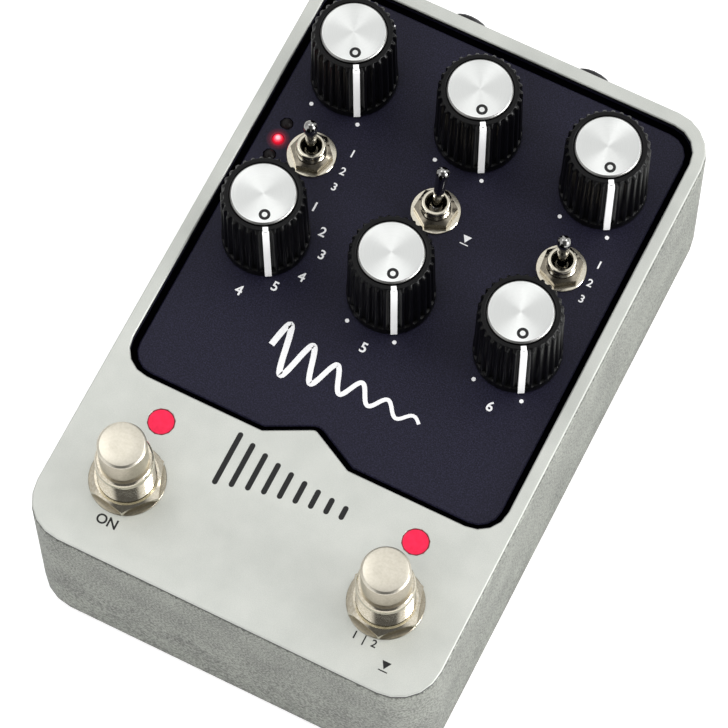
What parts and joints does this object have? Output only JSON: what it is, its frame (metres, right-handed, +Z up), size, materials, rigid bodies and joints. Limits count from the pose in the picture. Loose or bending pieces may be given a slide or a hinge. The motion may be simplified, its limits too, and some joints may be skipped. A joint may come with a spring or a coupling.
{
  "type": "delay pedal",
  "caption": "Box-shaped delay pedal with a recessed control panel, fluted knobs, bat toggles, two footswitches with lamps, and rear jacks.",
  "frame": {"origin": "middle of the bounding box on the floor, under the feet", "axes": "+X to the player's right, +Y to the rear with the jacks, +Z up"},
  "size_m": [0.0926, 0.1474, 0.0646],
  "materials": {
    "cast_housing": "fine speckled matte grey paint on a die-cast box",
    "satin_plate": "bead-blasted satin silver",
    "panel_black": "fine matte blue-black",
    "cover_steel": "matte grey sheet",
    "foot_rubber": "matte black",
    "knob_black": "satin black, fluted",
    "spun_caps": "radially spun, bright",
    "pot_shafts": "plain turned",
    "board_green": "green solder mask",
    "toggle_nickel": "bright nickel",
    "footswitch_nickel": "warm bright nickel",
    "status_lens": "frosted red lens, lit",
    "lit_lens": "red lens, lit",
    "dark_lens": "clear lens, unlit",
    "jack_black": "black moulded",
    "button_black": "black moulded"
  },
  "bodies": {
    "enclosure": {"housing": "cast_housing", "top_plate": "satin_plate", "control_panel": "panel_black", "bottom_cover": "cover_steel", "foot_1": "foot_rubber", "foot_2": "foot_rubber", "foot_3": "foot_rubber", "foot_4": "foot_rubber", "control_board": "board_green", "main_board": "board_green", "toggle_body_1": "toggle_nickel", "toggle_body_2": "toggle_nickel", "toggle_body_3": "toggle_nickel", "toggle_washer_1": "toggle_nickel", "toggle_washer_2": "toggle_nickel", "toggle_washer_3": "toggle_nickel", "toggle_nut_1": "toggle_nickel", "toggle_nut_2": "toggle_nickel", "toggle_nut_3": "toggle_nickel", "footswitch_body_1": "footswitch_nickel", "footswitch_body_2": "footswitch_nickel", "footswitch_nut_1": "footswitch_nickel", "footswitch_nut_2": "footswitch_nickel", "status_lamp_1": "status_lens", "status_lamp_2": "status_lens", "mode_lamp_2": "lit_lens", "mode_lamp_1": "dark_lens", "mode_lamp_3": "dark_lens", "jack_1": "jack_black", "jack_2": "jack_black", "jack_3": "jack_black", "jack_4": "jack_black", "jack_nut_1": "jack_black", "jack_nut_2": "jack_black", "jack_nut_3": "jack_black", "jack_nut_4": "jack_black"},
    "rotary_1": {"knob_1": "knob_black", "knob_cap_1": "spun_caps", "pot_shaft_1": "pot_shafts"},
    "rotary_2": {"knob_2": "knob_black", "knob_cap_2": "spun_caps", "pot_shaft_2": "pot_shafts"},
    "rotary_3": {"knob_3": "knob_black", "knob_cap_3": "spun_caps", "pot_shaft_3": "pot_shafts"},
    "rotary_4": {"knob_4": "knob_black", "knob_cap_4": "spun_caps", "pot_shaft_4": "pot_shafts"},
    "rotary_5": {"knob_5": "knob_black", "knob_cap_5": "spun_caps", "pot_shaft_5": "pot_shafts"},
    "rotary_6": {"knob_6": "knob_black", "knob_cap_6": "spun_caps", "pot_shaft_6": "pot_shafts"},
    "lever_1": {"toggle_lever_1": "toggle_nickel"},
    "lever_2": {"toggle_lever_2": "toggle_nickel"},
    "lever_3": {"toggle_lever_3": "toggle_nickel"},
    "plunger_1": {"footswitch_plunger_1": "footswitch_nickel"},
    "plunger_2": {"footswitch_plunger_2": "footswitch_nickel"},
    "pairing": {"pair_button": "button_black"}
  },
  "joints": [
    {"name": "knob_turn_1", "type": "hinge", "parent": "enclosure", "child": "rotary_1", "pos_m": [-0.0291, 0.0465, 0.0445], "axis": [0, 0, 1], "range_deg": [0, 300]},
    {"name": "knob_turn_2", "type": "hinge", "parent": "enclosure", "child": "rotary_2", "pos_m": [0, 0.0465, 0.0445], "axis": [0, 0, 1], "range_deg": [0, 300]},
    {"name": "knob_turn_3", "type": "hinge", "parent": "enclosure", "child": "rotary_3", "pos_m": [0.0291, 0.0465, 0.0445], "axis": [0, 0, 1], "range_deg": [0, 300]},
    {"name": "knob_turn_4", "type": "hinge", "parent": "enclosure", "child": "rotary_4", "pos_m": [-0.0291, 0.0056, 0.0445], "axis": [0, 0, 1], "range_deg": [0, 300]},
    {"name": "knob_turn_5", "type": "hinge", "parent": "enclosure", "child": "rotary_5", "pos_m": [0, 0.0056, 0.0445], "axis": [0, 0, 1], "range_deg": [0, 300]},
    {"name": "knob_turn_6", "type": "hinge", "parent": "enclosure", "child": "rotary_6", "pos_m": [0.0291, 0.0056, 0.0445], "axis": [0, 0, 1], "range_deg": [0, 300]},
    {"name": "toggle_flip_1", "type": "hinge", "parent": "enclosure", "child": "lever_1", "pos_m": [-0.0291, 0.02645, 0.0447], "axis": [1, 0, 0], "range_deg": [-14, 14]},
    {"name": "toggle_flip_2", "type": "hinge", "parent": "enclosure", "child": "lever_2", "pos_m": [0, 0.02645, 0.0447], "axis": [1, 0, 0], "range_deg": [0, 28]},
    {"name": "toggle_flip_3", "type": "hinge", "parent": "enclosure", "child": "lever_3", "pos_m": [0.0291, 0.02645, 0.0447], "axis": [1, 0, 0], "range_deg": [-14, 14]},
    {"name": "footswitch_press_1", "type": "slide", "parent": "enclosure", "child": "plunger_1", "axis": [0, 0, -1], "range_m": [0, 0.003], "stiffness_N_per_m": 800, "springref_m": -0.002},
    {"name": "footswitch_press_2", "type": "slide", "parent": "enclosure", "child": "plunger_2", "axis": [0, 0, -1], "range_m": [0, 0.003], "stiffness_N_per_m": 800, "springref_m": -0.002},
    {"name": "pair_press", "type": "slide", "parent": "enclosure", "child": "pairing", "axis": [0, -1, 0], "range_m": [0, 0.0008], "stiffness_N_per_m": 800, "springref_m": -0.0005}
  ]
}
